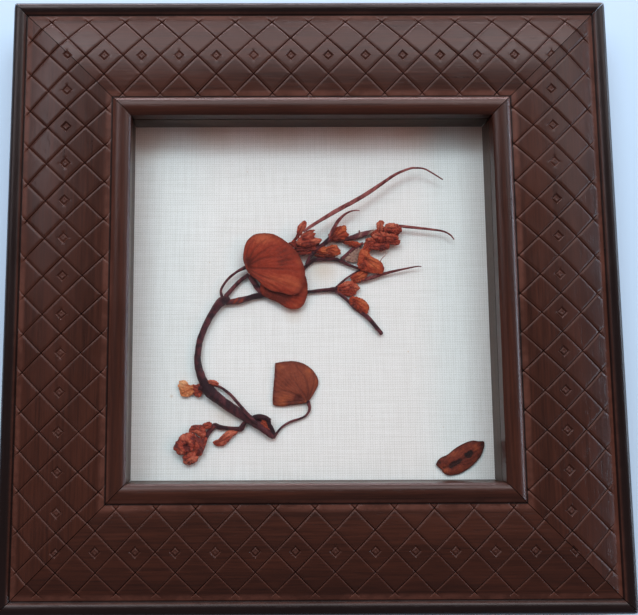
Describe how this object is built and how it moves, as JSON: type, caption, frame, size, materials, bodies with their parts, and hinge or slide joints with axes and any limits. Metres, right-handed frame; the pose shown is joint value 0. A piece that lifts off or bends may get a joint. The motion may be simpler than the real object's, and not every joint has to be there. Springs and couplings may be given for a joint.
{
  "type": "pressed flower frame",
  "caption": "Square shadow-box frame of mitred, lattice-pressed wooden moulding, with a dried plant sprig and a loose leaf on cream cloth behind glass.",
  "frame": {"origin": "the middle of the frame's back, in the plane that its rails rest on", "axes": "+Z out of the picture, +X to the picture's right, +Y to the picture's top"},
  "size_m": [0.2032, 0.2032, 0.0229],
  "materials": {
    "rail_wood": "satin, dark red-brown stain",
    "spacer_wood": "satin, dark brown",
    "clear_glass": "clear",
    "cream_linen": "plain weave",
    "white_card": "matt",
    "hardboard": "matt",
    "point_steel": "satin",
    "hanger_brass": "satin",
    "stem_bark": "dry, satin",
    "twig_bark": "dry, satin",
    "tail_bark": "dry, satin",
    "leaf_rust": "dry, matt",
    "leaf_brown": "dry, matt",
    "leaf_dark": "dry, satin",
    "petal_orange": "dry, matt",
    "petal_red": "dry, matt",
    "petal_pale": "dry, matt"
  },
  "bodies": {
    "root": {"backing_board": "hardboard", "bract_fork": "petal_orange", "bract_raceme": "petal_orange", "branch_calyx": "stem_bark", "branch_dark": "stem_bark", "branch_diagonal": "twig_bark", "branch_fork_lower": "twig_bark", "branch_fork_upper": "twig_bark", "branch_raceme": "twig_bark", "branch_side": "stem_bark", "branch_thin": "twig_bark", "bud_lower": "petal_red", "bud_scale": "petal_red", "calyx_bell": "petal_red", "calyx_long": "petal_red", "calyx_short": "petal_orange", "florets_end": "petal_red", "florets_fork": "petal_red", "florets_lower": "petal_red", "florets_middle": "petal_orange", "flower_bell": "petal_pale", "glass": "clear_glass", "hanger": "hanger_brass", "hanger_rivet_left": "hanger_brass", "hanger_rivet_right": "hanger_brass", "leaf_loose": "leaf_dark", "leaf_lower": "leaf_brown", "leaf_under": "leaf_rust", "leaf_upper": "leaf_rust", "linen": "cream_linen", "mount_board": "white_card", "petal_lower": "petal_orange", "petal_orange": "petal_orange", "petiole_inner": "twig_bark", "petiole_lower": "twig_bark", "petiole_outer": "twig_bark", "petiole_under": "twig_bark", "point_bottom_1": "point_steel", "point_bottom_2": "point_steel", "point_left_1": "point_steel", "point_left_2": "point_steel", "point_right_1": "point_steel", "point_right_2": "point_steel", "point_top_1": "point_steel", "point_top_2": "point_steel", "rail_bottom": "rail_wood", "rail_left": "rail_wood", "rail_right": "rail_wood", "rail_top": "rail_wood", "shoot_lower": "stem_bark", "spacer_bottom": "spacer_wood", "spacer_left": "spacer_wood", "spacer_right": "spacer_wood", "spacer_top": "spacer_wood", "stem_knob": "stem_bark", "stem_main": "stem_bark", "tail_end": "tail_bark", "tail_fork": "tail_bark", "tail_long": "tail_bark", "tail_short": "tail_bark"}
  },
  "joints": []
}
